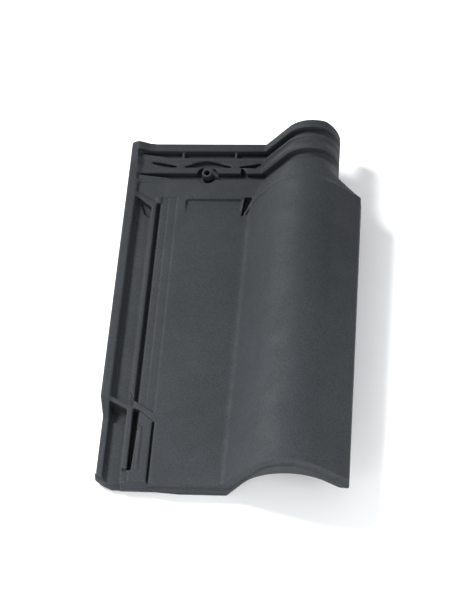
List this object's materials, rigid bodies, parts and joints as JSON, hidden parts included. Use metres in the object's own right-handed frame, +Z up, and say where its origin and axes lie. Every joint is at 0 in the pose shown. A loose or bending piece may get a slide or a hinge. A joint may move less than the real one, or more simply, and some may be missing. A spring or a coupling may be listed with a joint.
{
  "type": "clay roof tile",
  "caption": "Interlocking clay roof tile with a flat pan, a round side roll, side and head locks, a nail boss and hanging lugs.",
  "frame": {"origin": "on the floor plane, under the middle of the tile's bounding box", "axes": "+Y along the tile from its nose to its head, +X from the side lock to the roll, +Z up, away from the floor"},
  "size_m": [0.28, 0.46, 0.084],
  "materials": {
    "clay": "matt engobed clay, slate grey"
  },
  "bodies": {
    "root": {"roof_tile": "clay"}
  },
  "joints": []
}
